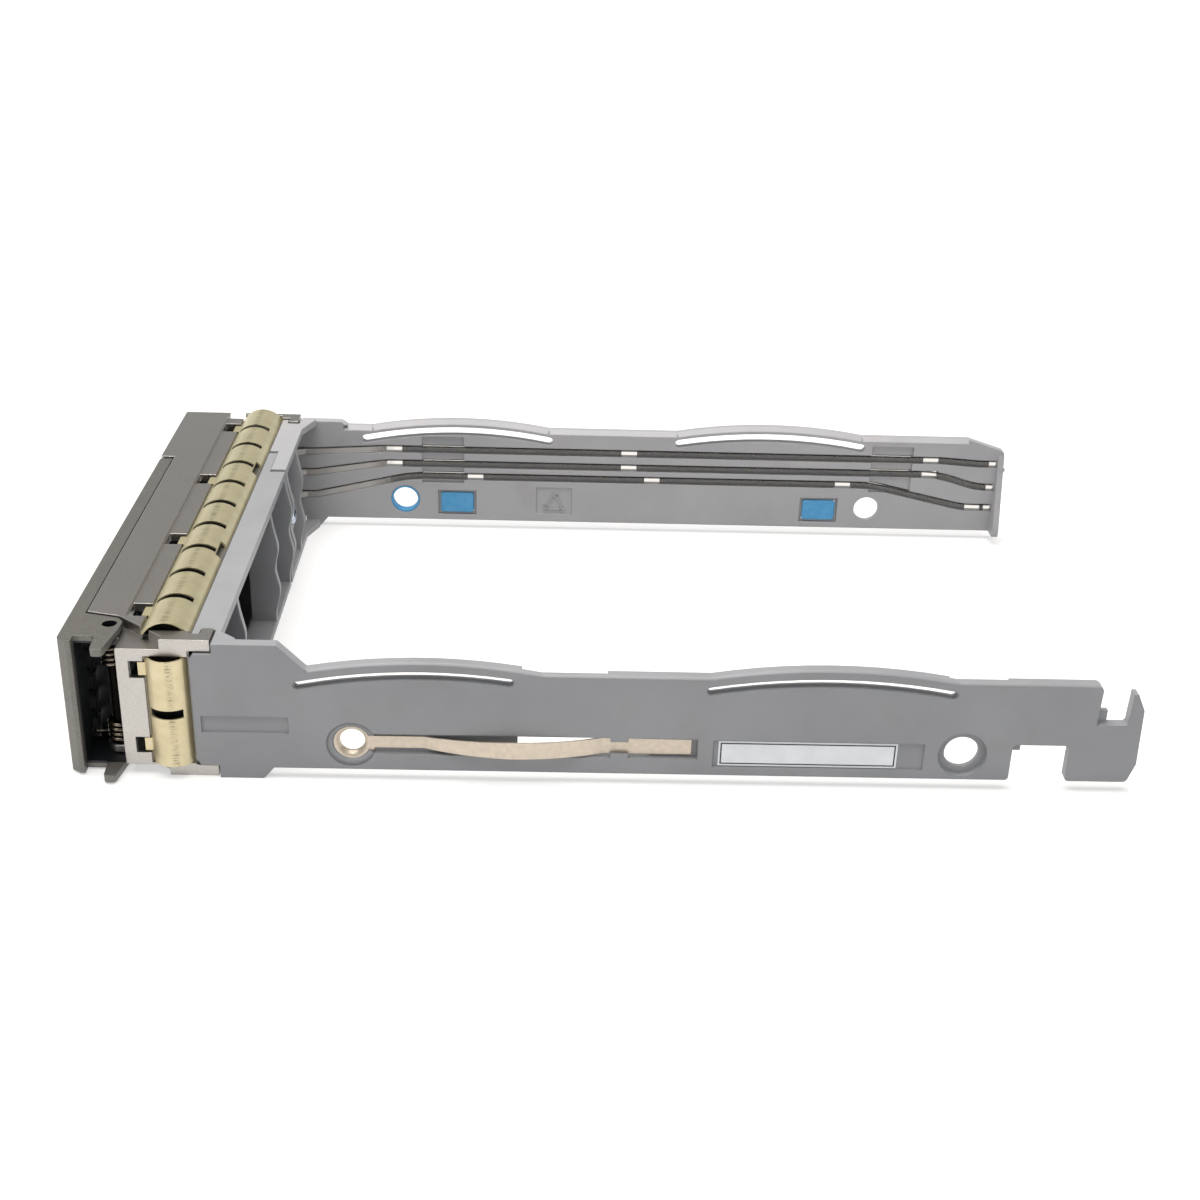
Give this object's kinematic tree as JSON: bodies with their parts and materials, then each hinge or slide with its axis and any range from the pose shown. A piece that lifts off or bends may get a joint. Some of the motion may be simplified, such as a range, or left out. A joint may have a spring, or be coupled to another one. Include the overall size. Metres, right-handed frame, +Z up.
{
  "type": "hot swap drive caddy",
  "caption": "Hot swap drive caddy: grey moulded side rails with light pipes behind a die-cast front cage with a hinged latch lever, contact finger strips and a release button.",
  "frame": {"origin": "middle of the footprint, on the plane that the cage and the rails' front block stand on", "axes": "+X from the lever face towards the rear hook and the back of the bay; +Y from the hinge side to the latch side; +Z up"},
  "size_m": [0.1776, 0.1097, 0.0268],
  "materials": {
    "rail_plastic": "moulded grey",
    "cage_casting": "grey metallic paint on a casting",
    "lever_casting": "warm grey metallic paint on a casting",
    "screw_steel": "bright plated",
    "pin_steel": "ground",
    "spring_steel": "plated wire",
    "contact_alloy": "tin-plated copper alloy, satin",
    "leaf_steel": "satin",
    "button_plastic": "moulded grey",
    "latch_plastic": "moulded grey",
    "damper_rubber": "blue elastomer",
    "label_film": "blank pale film",
    "clear_plastic": "clear moulded bar"
  },
  "bodies": {
    "caddy": {"frame_near": "rail_plastic", "frame_far": "rail_plastic", "joint_screw": "screw_steel", "front_cage": "cage_casting", "pivot_pin": "pin_steel", "torsion_spring_upper": "spring_steel", "torsion_spring_lower": "spring_steel", "latch_spring": "spring_steel", "finger_strip_top": "contact_alloy", "finger_strip_near": "contact_alloy", "finger_strip_far": "contact_alloy", "ground_spring": "leaf_steel", "damper_strip": "damper_rubber", "label_blank": "label_film", "light_pipe_upper": "clear_plastic", "light_pipe_middle": "clear_plastic", "light_pipe_lower": "clear_plastic"},
    "lever_body": {"lever": "lever_casting"},
    "button_body": {"release_button": "button_plastic"},
    "latch_body": {"latch": "latch_plastic"}
  },
  "joints": [
    {"name": "lever_hinge", "type": "hinge", "parent": "caddy", "child": "lever_body", "pos_m": [-0.0816, -0.0466, 0.0127], "axis": [0, 0, 1], "range_deg": [0, 50]},
    {"name": "button_push", "type": "slide", "parent": "caddy", "child": "button_body", "axis": [1, 0, 0], "range_m": [0, 0.002], "stiffness_N_per_m": 400, "springref_m": -0.001},
    {"name": "latch_slide", "type": "slide", "parent": "caddy", "child": "latch_body", "axis": [0, 1, 0], "range_m": [0, 0.002], "deforming": ["latch_spring"]}
  ],
  "couplings": [
    {"joint": "latch_slide", "follows": "button_push", "ratio": 1}
  ]
}
